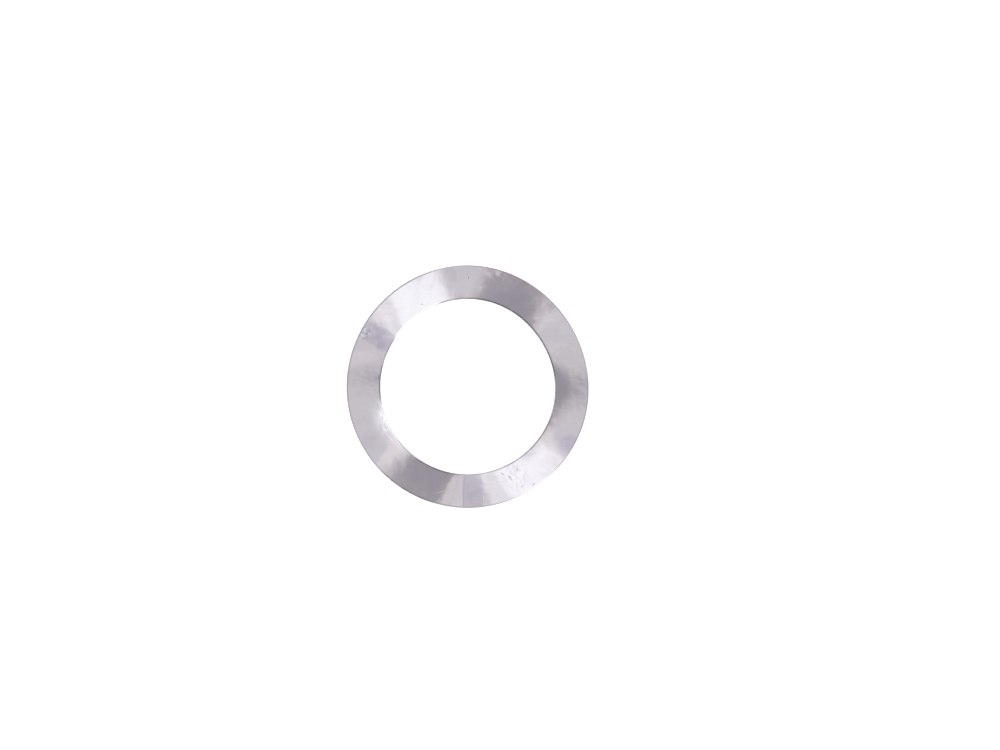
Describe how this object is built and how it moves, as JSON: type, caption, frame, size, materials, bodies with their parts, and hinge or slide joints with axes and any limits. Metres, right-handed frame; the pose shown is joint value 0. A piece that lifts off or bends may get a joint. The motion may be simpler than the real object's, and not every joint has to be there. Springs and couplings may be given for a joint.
{
  "type": "wave washer",
  "caption": "Round thin spring washer, pressed into even waves so that it pushes back along its bore axis when squeezed.",
  "frame": {"origin": "on the bore axis, in the plane that the troughs stand on", "axes": "+Z along the bore axis towards the crests, one crest over +Y"},
  "size_m": [0.028, 0.028, 0.0022],
  "materials": {
    "spring_steel": "bright cold-rolled strip, tumbled after blanking, near mirror with fine rolling lines"
  },
  "bodies": {
    "root": {"wave_washer": "spring_steel"}
  },
  "joints": []
}
